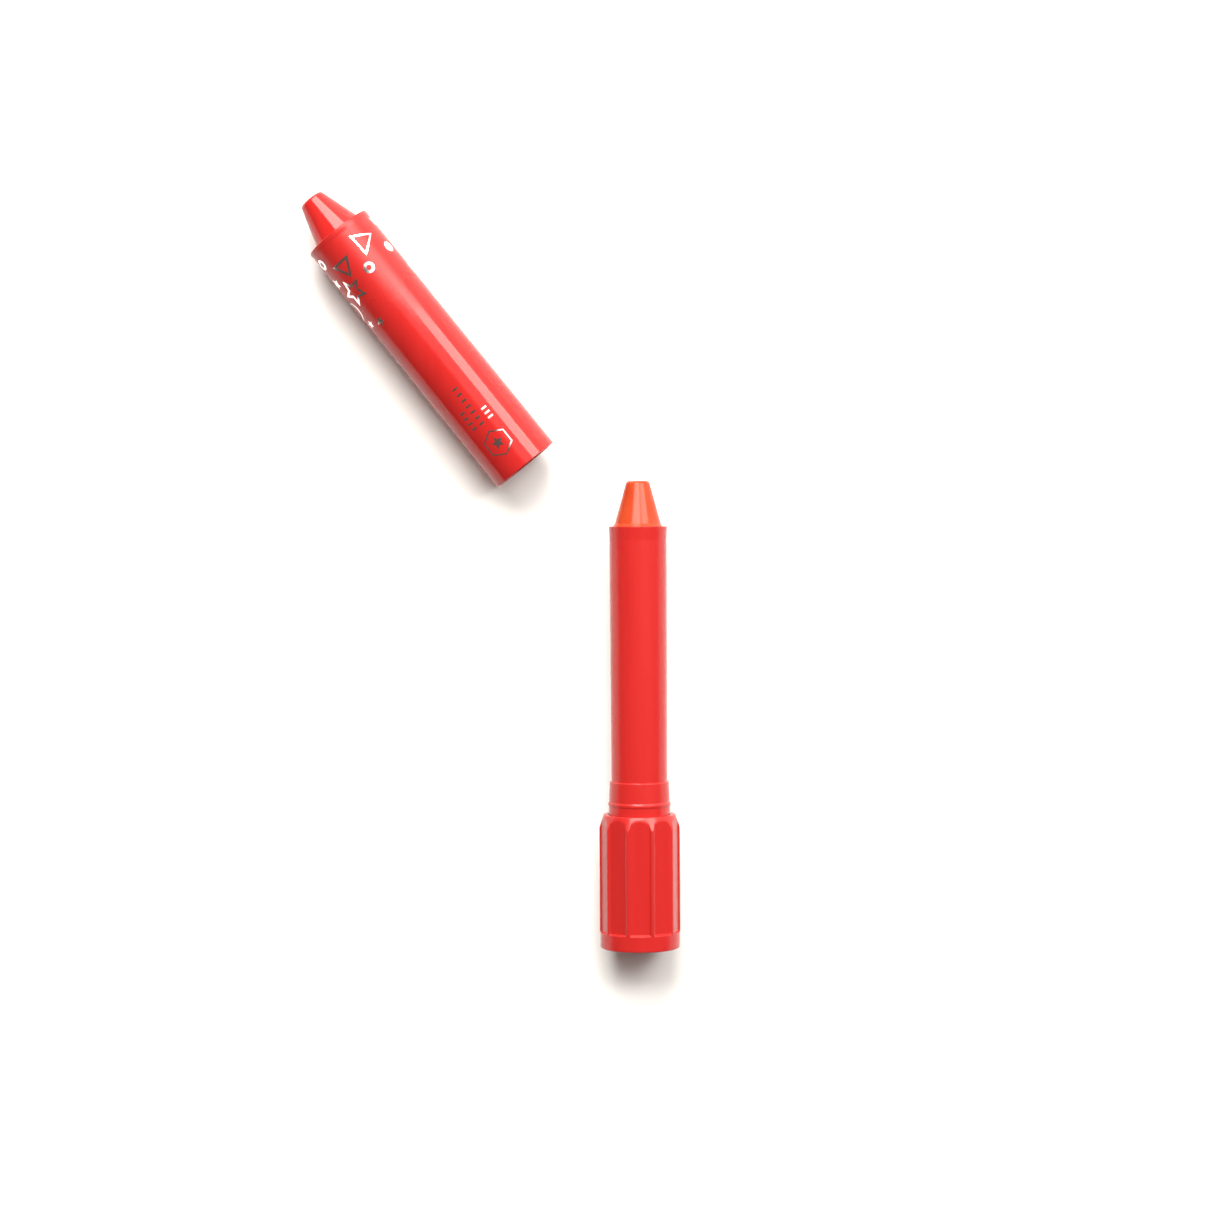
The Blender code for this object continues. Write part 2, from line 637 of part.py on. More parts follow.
def main():
    clear_scene()
    red = material("red_gloss_plastic", RED, 0.25)
    knob_red = material("knob_red_plastic", DEEP_RED, 0.28)
    plug_red = material("plug_red_plastic", DEEP_RED, 0.35)
    cap_red = material("cap_red_plastic", RED, 0.18)
    wax = material("orange_wax", ORANGE, 0.4)
    white = material("white_plastic", NATURAL_WHITE, 0.45)
    ivory = material("ivory_plastic", IVORY, 0.4)
    rubber = material("black_rubber", BLACK, 0.7)

    cap_piece, outline = cap(cap_red)
    left, far = cap_reach(outline)
    origin_x = (left + KNOB_RADIUS) / 2
    origin_y = far / 2
    crayon_root = empty("crayon_axis", (-origin_x, -origin_y, KNOB_RING_RADIUS))

    pieces = [
        barrel(red),
        twist_knob(knob_red),
        tail_plug(plug_red),
        friction_ring(rubber),
        lead_screw(ivory),
        wax_cup(white),
        wax_stick(wax),
    ]
    for piece in pieces:
        piece.parent = crayon_root
    for cutter in bpy.data.objects:
        if cutter.hide_render:
            cutter.parent = crayon_root

    centre = swing_centre()
    swing = empty("cap_swing_axis", (centre.x - origin_x, centre.y - origin_y, CAP_MOUTH_RADIUS))
    swing.rotation_euler = (0, 0, CAP_TURN)
    cap_piece.parent = swing
    cap_piece.location = (-centre.x, WAX_TIP + CAP_GAP - centre.y, 0)


main()
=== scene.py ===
"""The looks of a twist-up crayon that lies on a white table with its cap off.

Lengths are in metres, +Z is up, and the crayon's axis lies along +Y. A turned piece is an
outline of (station, radius, corner radius) points in millimetres. The crayon's stations start
at its tail end, and the cap's stations start at its open mouth.
"""
import json
import math

import bmesh
import bpy
from mathutils import Matrix, Vector


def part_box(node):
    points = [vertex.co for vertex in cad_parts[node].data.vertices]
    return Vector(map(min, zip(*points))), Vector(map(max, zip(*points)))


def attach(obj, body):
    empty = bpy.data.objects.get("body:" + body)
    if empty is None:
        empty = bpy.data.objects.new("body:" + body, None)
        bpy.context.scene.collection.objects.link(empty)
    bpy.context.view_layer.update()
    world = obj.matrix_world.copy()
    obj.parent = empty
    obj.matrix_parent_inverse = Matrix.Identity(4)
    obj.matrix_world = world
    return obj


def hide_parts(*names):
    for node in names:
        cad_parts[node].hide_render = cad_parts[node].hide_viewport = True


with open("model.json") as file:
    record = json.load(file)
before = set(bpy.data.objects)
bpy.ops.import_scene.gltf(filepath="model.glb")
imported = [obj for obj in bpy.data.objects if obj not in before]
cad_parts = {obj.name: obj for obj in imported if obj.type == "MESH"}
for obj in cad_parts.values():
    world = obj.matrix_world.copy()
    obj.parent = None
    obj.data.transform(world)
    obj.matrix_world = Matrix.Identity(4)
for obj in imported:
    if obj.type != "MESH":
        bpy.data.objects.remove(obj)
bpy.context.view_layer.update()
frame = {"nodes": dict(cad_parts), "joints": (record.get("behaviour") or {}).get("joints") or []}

MM = 0.001

# ---- places, from the frame -----------------------------------------------------------

JOINTS = {joint["name"]: joint for joint in frame["joints"]}
TAIL = Vector(JOINTS["knob_twist"]["pos_m"])
SWING_CENTRE = Vector(JOINTS["cap_swing"]["pos_m"])
CAP_TURN = math.radians(JOINTS["cap_swing"]["range_deg"][1])
WAX_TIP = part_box("wax_stick")[1].y - TAIL.y
CAP_GAP = 2.4 * MM                   # ahead of the wax, once the cap is swung into line

CRAYON_PLACE = Matrix.Translation(TAIL)


def cap_place():
    """The cap's own frame at rest: its mouth at the origin and its nose along +Y."""
    in_line = Vector((TAIL.x, TAIL.y + WAX_TIP + CAP_GAP, SWING_CENTRE.z))
    turn = Matrix.Rotation(CAP_TURN, 4, "Z")
    return Matrix.Translation(SWING_CENTRE + turn @ (in_line - SWING_CENTRE)) @ turn


CAP_PLACE = cap_place()

# ---- sizes ----------------------------------------------------------------------------

SIDES = 240                          # sides of a turned piece
ARC_STEP = math.radians(11.0)        # turn between two points of a rounded corner
SUPPORT = 0.12 * MM                  # rows beside a rounded corner, which keep the shading true
STRAIGHT = math.pi - 0.001           # a flatter corner than this isn't rounded
EDGE_SHARE = 0.45                    # of the edge beside it, the most that a corner may take
SHARP_ANGLE = math.radians(40.0)     # steeper folds than this keep a hard edge

KNOB_LENGTH = 33.4 * MM
KNOB_RADIUS = 10.05 * MM
KNOB_TOP_RADIUS = 9.0 * MM
KNOB_CHAMFER = 3.2 * MM
KNOB_RING_RADIUS = 9.96 * MM         # the plain ring at the tail
KNOB_RING_LENGTH = 3.9 * MM
KNOB_EDGE_ROUND = 0.9 * MM
LEDGE_LENGTH = 0.35 * MM             # from the ring down to the flutes
LEDGE_STEPS = 8
CHAMFER_STEPS = 44                   # rows from the flutes to the chamfer's top
CHAMFER_LEAD = 0.4 * MM              # these rows start this far before the chamfer
CHAMFER_BLEND = 0.10 * MM            # softness of the line where flute and chamfer cross
KNOB_RIM = 0.12 * MM                 # the rounded rim above the chamfer
SOCKET_HALF = 2.3 * MM               # the square socket for the screw's foot
WEB_TOP = 8.0 * MM                   # the knob's inner web, which holds that foot
WEB_BOTTOM = 6.0 * MM
RECESS_RADIUS = 8.2 * MM             # the recess at the tail, which takes the plug's skirt
RECESS_STEP = 1.5 * MM               # depth of its wider mouth, which takes the plug's disc
RECESS_MOUTH = 9.1 * MM
FLUTE_COUNT = 10
FLUTE_FLOOR = 9.27 * MM              # from the axis to a flute's flat floor
FLUTE_SIDE_START = 13.3              # degrees from the flute's middle, where its side starts
FLUTE_SIDE_END = 16.9

BORE_RADIUS = 6.35 * MM              # the barrel's bore
BARREL_HOLE = 2.85 * MM              # in the barrel's floor, round the screw
BARREL_FLOOR = 11.5 * MM             # the top of that floor
RIB_RADIUS = 5.35 * MM               # the bore between the barrel's guide ribs
RIB_TOP = 54.7 * MM
RIB_PITCH = 90.0                     # degrees from one rib to the next
RIB_HALF_ANGLE = 6.0

CAP_SHOULDER = 74.5 * MM
CAP_MOUTH_RADIUS = 9.03 * MM
CAP_MID_RADIUS = 8.87 * MM
CAP_NECK_RADIUS = 8.76 * MM
CAP_NECK = 72.9 * MM


# ---- mesh helpers ---------------------------------------------------------------------

def rounded(corner, before, after, size):
    """The points of a rounded corner. before and after lead to the corner's neighbours."""
    inner_angle = before.angle(after) if size else math.pi
    if inner_angle > STRAIGHT:
        return [tuple(corner)]
    most = EDGE_SHARE * min(before.length, after.length)
    reach = min(size / math.tan(inner_angle / 2), most)
    size = reach * math.tan(inner_angle / 2)
    before, after = before.normalized(), after.normalized()
    centre = corner + (before + after).normalized() * size / math.sin(inner_angle / 2)
    first = corner + before * reach - centre
    steps = max(2, math.ceil((math.pi - inner_angle) / ARC_STEP))
    turn = first.angle_signed(corner + after * reach - centre)
    arc = [centre + Matrix.Rotation(-turn * k / steps, 2) @ first for k in range(steps + 1)]
    extra = min(SUPPORT, 0.3 * reach)
    return [tuple(arc[0] + before * extra), *map(tuple, arc), tuple(arc[-1] + after * extra)]


def soften(outline):
    """An outline in millimetres as rows in metres, with its corners rounded."""
    points = [Vector((station * MM, radius * MM)) for station, radius, _ in outline]
    rows = []
    for i, corner in enumerate(points):
        before = points[i - 1] - corner
        after = points[(i + 1) % len(points)] - corner
        rows += rounded(corner, before, after, outline[i][2] * MM)
    return rows


def turned(name, rows, place, angles=None):
    """A closed body from rows of (station, radius) about +Y.

    A radius may be a function of the angle, which goes from +X towards +Z. A radius of 0 closes
    the body on its axis. If the rows don't reach the axis at both ends, the last row joins the
    first.
    """
    angles = angles or [math.tau * i / SIDES for i in range(SIDES)]
    made = bmesh.new()
    rings = []
    for station, radius in rows:
        if radius == 0:
            rings.append([made.verts.new((0, station, 0))])
            continue
        ring = []
        for a in angles:
            r = radius(a) if callable(radius) else radius
            ring.append(made.verts.new((r * math.cos(a), station, r * math.sin(a))))
        rings.append(ring)
    pairs = list(zip(rings, rings[1:]))
    if len(rings[0]) > 1 or len(rings[-1]) > 1:
        pairs.append((rings[-1], rings[0]))
    for first, second in pairs:
        join(made, first, second)
    return finished(name, made, place)


def join(made, first, second):
    """Faces between two rings. Either may be a single point, but two points have no face."""
    count = max(len(first), len(second))
    if count == 1:
        return
    for i in range(count):
        j = (i + 1) % count
        corners = [first[i % len(first)], first[j % len(first)],
                   second[j % len(second)], second[i % len(second)]]
        made.faces.new(list(dict.fromkeys(corners)))


def finished(name, made, place):
    mesh = bpy.data.meshes.new(name)
    bmesh.ops.recalc_face_normals(made, faces=made.faces)
    made.to_mesh(mesh)
    made.free()
    mesh.transform(place)
    mesh.shade_smooth()
    mesh.set_sharp_from_angle(angle=SHARP_ANGLE)
    piece = bpy.data.objects.new(name, mesh)
    bpy.context.scene.collection.objects.link(piece)
    return piece


def dress(piece, look, body, slot, *nodes):
    """Give a piece its material and its body, and hide the CAD nodes that it stands for. slot is
    not used.
    """
    piece.data.materials.append(look.material)
    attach(piece, body)
    if nodes:
        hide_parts(*nodes)


# ---- material helpers -----------------------------------------------------------------

NOISE_LOW, NOISE_HIGH = 0.3, 0.7     # the span that most of a noise lies in


class Graph:
    """The shader nodes of a material or a world in the making."""

    def __init__(self, tree):
        self.nodes = tree.nodes
        self.links = tree.links

    def node(self, kind, inputs=(), **settings):
        made = self.nodes.new(kind)
        for key, value in settings.items():
            setattr(made, key, value)
        for key, value in dict(inputs).items():
            if isinstance(value, bpy.types.NodeSocket):
                self.links.new(value, made.inputs[key])
            else:
                made.inputs[key].default_value = value
        return made

    def ramp(self, value, low, high, to_low, to_high):
        """A value between low and high, spread smoothly from to_low to to_high."""
        return self.node("ShaderNodeMapRange", {
            "Value": value, "From Min": low, "From Max": high, "To Min": to_low,
            "To Max": to_high}, interpolation_type="SMOOTHSTEP").outputs["Result"]

    def maths(self, operation, first, second=0.0):
        return self.node("ShaderNodeMath", {0: first, 1: second}, operation=operation).outputs[0]

    def blend(self, share, first, second):
        mixed = self.node("ShaderNodeMix", data_type="RGBA")
        for socket, value in ((0, share), (6, first), (7, second)):
            if isinstance(value, bpy.types.NodeSocket):
                self.links.new(value, mixed.inputs[socket])
            else:
                mixed.inputs[socket].default_value = value
        return mixed.outputs[2]


class Look(Graph):
    """A procedural material in the making, with its Principled shader and its coordinates."""

    def __init__(self, name, **constants):
        self.material = bpy.data.materials.new(name)
        self.material.use_nodes = True
        super().__init__(self.material.node_tree)
        self.shader = self.nodes["Principled BSDF"]
        self.place = self.nodes.new("ShaderNodeTexCoord").outputs["Object"]
        for socket, value in constants.items():
            self.shader.inputs[socket.replace("_", " ")].default_value = value

    def noise(self, scale, detail=2.0, roughness=0.5, stretch=(1, 1, 1), turn=0.0):
        """Noise in the row frame, stretched along the axes of a frame turned about +Z."""
        mapped = self.node("ShaderNodeMapping", {
            "Vector": self.place, "Scale": stretch, "Rotation": (0, 0, turn)})
        return self.node("ShaderNodeTexNoise", {
            "Vector": mapped.outputs["Vector"], "Scale": scale, "Detail": detail,
            "Roughness": roughness}).outputs["Fac"]

    def spread(self, noise, to_low, to_high):
        """A noise, stretched to run from to_low to to_high."""
        return self.ramp(noise, NOISE_LOW, NOISE_HIGH, to_low, to_high)

    def colour(self, socket):
        self.links.new(socket, self.shader.inputs["Base Color"])

    def roughness(self, socket):
        self.links.new(socket, self.shader.inputs["Roughness"])

    def bump(self, *heights):
        """Stack bumps, each a (height socket, depth in metres) pair."""
        normal = None
        for height, depth in heights:
            inputs = {"Height": height, "Distance": depth}
            if normal:
                inputs["Normal"] = normal
            normal = self.node("ShaderNodeBump", inputs).outputs["Normal"]
        self.links.new(normal, self.shader.inputs["Normal"])


# ---- materials ------------------------------------------------------------------------

RED = (0.390, 0.0160, 0.0145, 1.0)
RED_DEEP = (0.370, 0.0140, 0.0130, 1.0)
WAX = (0.40, 0.047, 0.015, 1.0)
WAX_DEEP = (0.36, 0.038, 0.012, 1.0)
WAX_GRAIN = (0.60, 0.07, 0.02, 1.0)
FOIL = (0.93, 0.91, 0.90, 1.0)
FOIL_WORN = (0.80, 0.77, 0.76, 1.0)
IVORY, IVORY_DARK = (0.80, 0.76, 0.66, 1.0), (0.74, 0.69, 0.58, 1.0)
WHITE, WHITE_DARK = (0.82, 0.80, 0.76, 1.0), (0.77, 0.745, 0.70, 1.0)
RUBBER, RUBBER_DARK = (0.022, 0.021, 0.020, 1.0), (0.014, 0.014, 0.014, 1.0)
TABLE, TABLE_DARK = (0.80, 0.80, 0.80, 1.0), (0.785, 0.785, 0.785, 1.0)
PLASTIC_SPECULAR = 0.31
ALONG_CRAYON = (1.0, 0.08, 1.0)      # stretch of a noise that runs along the axis

CAP_GLOSS = (0.07, 0.10)             # roughness, from the smoothest places to the dullest
CAP_HAZE = 0.22                      # roughness that the band near the shoulder adds
CAP_HAZE_SPAN = (50 * MM, 76 * MM)   # stations, with the blotches' reach added
CAP_BLOTCH_REACH = 30 * MM


def red_plastic(name, peel_depth, turn=0.0):
    """Opaque red plastic with faint flow streaks and orange peel, but no roughness yet."""
    look = Look(name, Specular_IOR_Level=PLASTIC_SPECULAR)
    streaks = look.noise(260.0, 3.0, 0.55, ALONG_CRAYON, turn)
    look.colour(look.blend(look.spread(streaks, 0.0, 1.0), RED_DEEP, RED))
    peel = look.noise(900.0)
    grain = look.noise(6000.0, 1.0)
    look.bump((peel, peel_depth), (grain, 0.15 * peel_depth))
    return look


def satin(look, smooth, dull):
    """A roughness that comes and goes in soft clouds."""
    return look.spread(look.noise(70.0), smooth, dull)


def moulded_red(name, smooth, dull):
    look = red_plastic(name, 0.008 * MM)
    look.roughness(satin(look, smooth, dull))
    return look


def cap_red():
    """The cap's glossy red. It is duller towards the shoulder, where the foil was stamped."""
    look = red_plastic("cap_red", 0.006 * MM, -CAP_TURN)
    local = look.node("ShaderNodeMapping", {
        "Vector": look.place, "Location": CAP_PLACE.translation, "Rotation": (0, 0, CAP_TURN)},
        vector_type="TEXTURE").outputs["Vector"]
    along = look.node("ShaderNodeSeparateXYZ", {"Vector": local}).outputs["Y"]
    blotches = look.maths("MULTIPLY", look.noise(240.0, 4.0, 0.65), CAP_BLOTCH_REACH)
    haze = look.ramp(look.maths("ADD", along, blotches), *CAP_HAZE_SPAN, 0.0, CAP_HAZE)
    off_nose = look.ramp(along, CAP_SHOULDER - 0.5 * MM, CAP_SHOULDER, 1.0, 0.0)
    look.roughness(look.maths("ADD", satin(look, *CAP_GLOSS),
                              look.maths("MULTIPLY", haze, off_nose)))
    return look


def orange_wax():
    look = Look("orange_wax", Subsurface_Weight=0.12, Subsurface_Scale=1.2 * MM,
                Subsurface_Radius=(1.0, 0.35, 0.12), Specular_IOR_Level=0.18)
    clouds = look.noise(180.0, 4.0, 0.6)
    grains = look.noise(1500.0, 2.0, 0.6)
    shade = look.blend(look.spread(clouds, 0.0, 1.0), WAX_DEEP, WAX)
    look.colour(look.blend(look.ramp(grains, 0.62, 0.75, 0.0, 0.25), shade, WAX_GRAIN))
    look.roughness(look.spread(clouds, 0.13, 0.22))
    drag = look.noise(700.0, 3.0, 0.6, ALONG_CRAYON)
    look.bump((clouds, 0.03 * MM), (drag, 0.006 * MM), (grains, 0.003 * MM))
    return look


def silver_foil():
    look = Look("silver_foil", Metallic=1.0)
    wear = look.noise(1400.0, 4.0, 0.7)
    look.colour(look.blend(look.ramp(wear, 0.35, 0.7, 0.0, 1.0), FOIL, FOIL_WORN))
    look.roughness(look.ramp(wear, 0.3, 0.75, 0.10, 0.24))
    look.bump((look.noise(2500.0), 0.002 * MM))
    return look


def inner_plastic(name, light, dark, dull, peel):
    """Matt moulded plastic with faint flow streaks, for the pieces inside."""
    look = Look(name, Specular_IOR_Level=0.45)
    streaks = look.noise(300.0, 3.0, 0.6, ALONG_CRAYON)
    look.colour(look.blend(look.spread(streaks, 0.0, 1.0), dark, light))
    look.roughness(look.spread(look.noise(500.0), dull - 0.06, dull + 0.06))
    look.bump((look.noise(2500.0, 3.0), peel))
    return look


def table_top():
    look = Look("table_white", Specular_IOR_Level=0.2)
    fine = look.noise(35.0, 4.0, 0.6)
    look.colour(look.blend(look.spread(fine, 0.0, 1.0), TABLE_DARK, TABLE))
    look.roughness(look.spread(fine, 0.65, 0.75))
    look.bump((look.noise(1800.0), 0.01 * MM))
    return look


# ---- the crayon -----------------------------------------------------------------------

def rib_bore(angle):
    """The barrel's bore along its four guide ribs. A rib stands midway in each quarter turn."""
    off_rib = abs(math.degrees(angle) % RIB_PITCH - RIB_PITCH / 2)
    return RIB_RADIUS if off_rib <= RIB_HALF_ANGLE else BORE_RADIUS


def make_barrel():
    outside = [
        # the neck inside the knob, and the friction ring's seat between two flanges
        (9.8, BARREL_HOLE / MM, 0), (9.8, 7.3, 0.3),
        (21.65, 7.3, 0), (21.65, 7.85, 0.08), (22.15, 7.85, 0.08), (22.15, 7.3, 0),
        (23.45, 7.3, 0), (23.45, 7.85, 0.08), (23.95, 7.85, 0.08), (23.95, 7.3, 0),
        # the ring that the knob snaps over
        (29.1, 7.3, 0.2), (29.7, 8.12, 0.15), (30.7, 8.12, 0.06), (30.7, 7.3, 0),
        # the collar, with the bead that holds the cap
        (32.8, 7.3, 0.1), (33.2, 7.67, 0.1),
        (35.36, 7.67, 0.12), (35.8, 7.81, 0.22), (36.2, 7.80, 0.18), (36.62, 7.57, 0.15),
        (41.6, 7.40, 0.16), (41.6, 6.95, 0.12),
        # the tube, its flared lip and the bore behind it
        (102.2, 7.16, 4.0), (105.4, 7.33, 0.09),
        (105.4, 6.55, 0.08), (105.0, BORE_RADIUS / MM, 0.2), (55.2, BORE_RADIUS / MM, 0),
    ]
    rows = soften(outside)
    rows += [(RIB_TOP, rib_bore), (BARREL_FLOOR, rib_bore), (BARREL_FLOOR, BARREL_HOLE)]
    return turned("barrel_shell", rows, CRAYON_PLACE)


def flute_angles():
    """Angles round the knob, close together at the flutes' sides."""
    halves = [0, 3, 6, 9, 11, 12.3, 13, 13.5, 14, 14.4, 14.8, 15.2, 15.6, 16, 16.4, 16.9, 17.4]
    pitch = 360.0 / FLUTE_COUNT
    angles = []
    for i in range(FLUTE_COUNT):
        middle = 90.0 + i * pitch
        angles += [middle - h for h in reversed(halves[1:])] + [middle + h for h in halves]
        angles.append(middle + pitch / 2)
    return [math.radians(a) for a in angles]


def flute_wall(angle):
    """The knob's outer radius: a flat floor, a steep side with soft corners, then the land."""
    pitch = 360.0 / FLUTE_COUNT
    off = abs((math.degrees(angle) - 90.0 + pitch / 2) % pitch - pitch / 2)
    floor = FLUTE_FLOOR / math.cos(math.radians(off))
    rise = min(max((off - FLUTE_SIDE_START) / (FLUTE_SIDE_END - FLUTE_SIDE_START), 0.0), 1.0)
    return floor + (KNOB_RADIUS - floor) * rise * rise * (3 - 2 * rise)


def soft_min(first, second, width):
    """The lesser of two lengths, rounded where they cross."""
    share = min(max(0.5 + 0.5 * (second - first) / width, 0.0), 1.0)
    return second + (first - second) * share - width * share * (1 - share)


def knob_wall(station):
    """The radius at a station, as a function of the angle: the lesser of flute and chamfer."""
    slope = (KNOB_RADIUS - KNOB_TOP_RADIUS) / KNOB_CHAMFER
    cone = KNOB_TOP_RADIUS + slope * (KNOB_LENGTH - station)
    return lambda angle: soft_min(flute_wall(angle), cone, CHAMFER_BLEND)


def ledge(share):
    """The rounded step from the tail ring down to the flutes."""
    def radius(angle):
        drop = KNOB_RING_RADIUS - flute_wall(angle)
        return KNOB_RING_RADIUS - drop * (1 - math.cos(share * math.pi)) / 2
    return radius


def square_socket(angle):
    return SOCKET_HALF / max(abs(math.cos(angle)), abs(math.sin(angle)))


def make_knob():
    tail = [(0.1, RECESS_MOUTH / MM, 0), (0, RECESS_MOUTH / MM + 0.06, 0),
            (0, KNOB_RING_RADIUS / MM, KNOB_EDGE_ROUND / MM),
            (KNOB_RING_LENGTH / MM - 0.1, KNOB_RING_RADIUS / MM, 0)]
    rows = soften(tail)
    rows += [(KNOB_RING_LENGTH + LEDGE_LENGTH * k / LEDGE_STEPS, ledge(k / LEDGE_STEPS))
             for k in range(LEDGE_STEPS + 1)]
    chamfer_start = KNOB_LENGTH - KNOB_CHAMFER - CHAMFER_LEAD
    rows += [(s * MM, flute_wall) for s in (4.4, 4.8, 12.0, 20.0, 28.0)]
    rows.append((chamfer_start - SUPPORT, flute_wall))
    top = KNOB_LENGTH - KNOB_RIM
    for k in range(CHAMFER_STEPS + 1):
        station = chamfer_start + (top - chamfer_start) * k / CHAMFER_STEPS
        rows.append((station, knob_wall(station)))
    rim = [(33.365, 8.99, 0), (33.4, 8.91, 0), (33.4, 7.80, 0.06), (31.0, 7.80, 0.06),
           (31.0, 8.3, 0.08), (WEB_TOP / MM, 8.3, 0.3), (WEB_TOP / MM, 4.5, 0)]
    rows += soften(rim)
    rows += [(WEB_TOP, square_socket), (WEB_BOTTOM, square_socket)]
    rows += [(WEB_BOTTOM, RECESS_RADIUS), (RECESS_STEP, RECESS_RADIUS),
             (RECESS_STEP, RECESS_MOUTH)]
    return turned("knob_shell", rows, CRAYON_PLACE, flute_angles())


def make_plug():
    """The tail plug: a disc with a gate mark at its middle, and a skirt behind it."""
    outline = [
        (0.18, 0, 0), (0.18, 0.75, 0.08), (0, 0.95, 0.08), (0, 8.9, 0.16), (1.2, 8.9, 0.05),
        (1.2, 7.9, 0.05), (3.6, 7.9, 0.3), (3.6, 7.0, 0.15), (1.2, 7.0, 0.2), (1.2, 0, 0),
    ]
    return turned("plug_shell", soften(outline), CRAYON_PLACE)


def make_wax():
    """The wax: a stub in the cup, the stick, a shoulder at the barrel's mouth and the cone."""
    outline = [
        (58.1, 0, 0), (58.1, 4.97, 0.3), (65.3, 4.97, 0.1), (65.3, 6.0, 0.2),
        (104.4, 6.0, 0.3), (104.85, 6.2, 0.15), (105.5, 6.2, 0.18), (106.1, 5.78, 0.35),
        (WAX_TIP / MM, 2.84, 0.95), (WAX_TIP / MM, 0, 0),
    ]
    return turned("wax_body", soften(outline), CRAYON_PLACE)


# ---- the cap --------------------------------------------------------------------------

def cap_radius(station):
    """The cap's outer radius between its mouth and its neck."""
    middle = CAP_SHOULDER / 2
    if station < middle:
        return CAP_MOUTH_RADIUS + (CAP_MID_RADIUS - CAP_MOUTH_RADIUS) * station / middle
    share = (station - middle) / (CAP_NECK - middle)
    return CAP_MID_RADIUS + (CAP_NECK_RADIUS - CAP_MID_RADIUS) * share


def make_cap():
    shoulder, neck = CAP_SHOULDER / MM, CAP_NECK / MM
    outline = [
        # the mouth, and a faint sink mark beside its groove
        (0, CAP_MOUTH_RADIUS / MM, 0.12), (2.6, 9.02, 1.2), (4.3, 8.992, 1.2), (6.0, 9.002, 1.5),
        # the wall, the shoulder's rim and the nose
        (shoulder / 2, CAP_MID_RADIUS / MM, 30.0), (neck, CAP_NECK_RADIUS / MM, 0.3),
        (73.75, 8.86, 0.25), (shoulder, 8.86, 0.16),
        (shoulder, 6.62, 0.12), (85.3, 3.17, 1.0), (85.3, 0, 0),
        # the inside: nose, bore, the groove that the bead snaps into, and the mouth
        (84.1, 0, 0), (84.1, 2.6, 0.3), (73.7, 5.65, 0.3), (neck, 7.55, 0.3),
        (4.2, 7.78, 0.2), (3.2, 8.0, 0.2), (2.0, 8.0, 0.2), (1.4, 7.78, 0.2),
        (0.5, 7.78, 0.2), (0, 8.2, 0.1),
    ]
    return turned("cap_shell", soften(outline), CAP_PLACE)


# ---- the foil print on the cap --------------------------------------------------------
# A motif is drawn flat in millimetres: u runs round the cap from its upper line, and s runs
# from the mouth towards the nose.

FOIL_PROUD = 0.02                    # mm above the cap's surface
FOIL_SUNK = 0.02                     # mm below it
FOIL_STEP = 0.35                     # mm between points along a motif's edge
MITRE_LIMIT = 0.3                    # keeps a sharp corner's inner line from running away
CIRCLE_SIDES = 28
EMBLEM = (-1.7, 7.95)                # the hexagon's middle
STROKE_LENGTH = 1.5                  # mm, of the short strokes beside it
STROKE_WIDTH = 0.5
CAP_TURN_RADIUS = 9.0                # mm, from u to an angle
PRINT_START = 0.475                  # mm from the cap's mouth to where s starts


def polygon(centre, radius, corners, turn):
    """Corners of a regular polygon. turn is the first corner's angle from +s towards -u."""
    points = []
    for k in range(corners):
        angle = math.radians(turn) + math.tau * k / corners
        points.append(Vector((centre[0] - radius * math.sin(angle),
                              centre[1] + radius * math.cos(angle))))
    return points


def star(centre, radius, turn, inner=0.46, corners=5):
    outer = polygon(centre, radius, corners, turn)
    notches = polygon(centre, radius * inner, corners, turn + 180.0 / corners)
    return [p for pair in zip(outer, notches) for p in pair]


def bar(start, end, width):
    """A plain rectangle from start to end."""
    start, end = Vector(start), Vector(end)
    side = (end - start).normalized().orthogonal() * width / 2
    return [start + side, end + side, end - side, start - side]


def inset(points, width):
    """A loop moved inwards by width, with mitred corners."""
    area = sum(a.x * b.y - b.x * a.y for a, b in zip(points, points[1:] + points[:1]))
    inward = 1.0 if area > 0 else -1.0
    moved = []
    for i, corner in enumerate(points):
        back = (corner - points[i - 1]).normalized()
        ahead = (points[(i + 1) % len(points)] - corner).normalized()
        normal = Vector((-back.y - ahead.y, back.x + ahead.x)).normalized() * inward
        reach = width / max(normal.dot(Vector((-ahead.y, ahead.x)) * inward), MITRE_LIMIT)
        moved.append(corner + normal * reach)
    return moved


def divided(loops):
    """The loops with points added along their edges, the same number on each loop."""
    result = [[] for _ in loops]
    for i in range(len(loops[0])):
        j = (i + 1) % len(loops[0])
        steps = max(1, math.ceil((loops[0][j] - loops[0][i]).length / FOIL_STEP))
        for loop, out in zip(loops, result):
            out += [loop[i].lerp(loop[j], k / steps) for k in range(steps)]
    return result


def outlined(points, width):
    """The outer, middle and inner loops of a line that follows a motif's edge."""
    return divided([points, inset(points, width / 2), inset(points, width)])


def filled(points):
    """Loops that shrink towards the middle of a motif, which ends the list as a point."""
    middle = sum(points, Vector((0, 0))) / len(points)
    loops = divided([points] + [[p.lerp(middle, share) for p in points] for share in (0.4, 0.75)])
    return loops + [[middle]]


def on_cap(point, height, half_turn):
    """A point of the flat drawing, laid on the cap at a height in millimetres."""
    station = (point.y + PRINT_START) * MM
    angle = point.x / CAP_TURN_RADIUS + half_turn
    radius = cap_radius(station) + height * MM
    return Vector((radius * math.sin(angle), station, radius * math.cos(angle)))


def add_film(made, loops, half_turn):
    """A closed thin film between the loops of a motif."""
    sides = []
    for height in (FOIL_PROUD, -FOIL_SUNK):
        rings = [[made.verts.new(on_cap(p, height, half_turn)) for p in loop] for loop in loops]
        for first, second in zip(rings, rings[1:]):
            join(made, first, second)
        sides.append(rings)
    join(made, sides[0][0], sides[1][0])
    if len(loops[-1]) > 1:
        join(made, sides[0][-1], sides[1][-1])


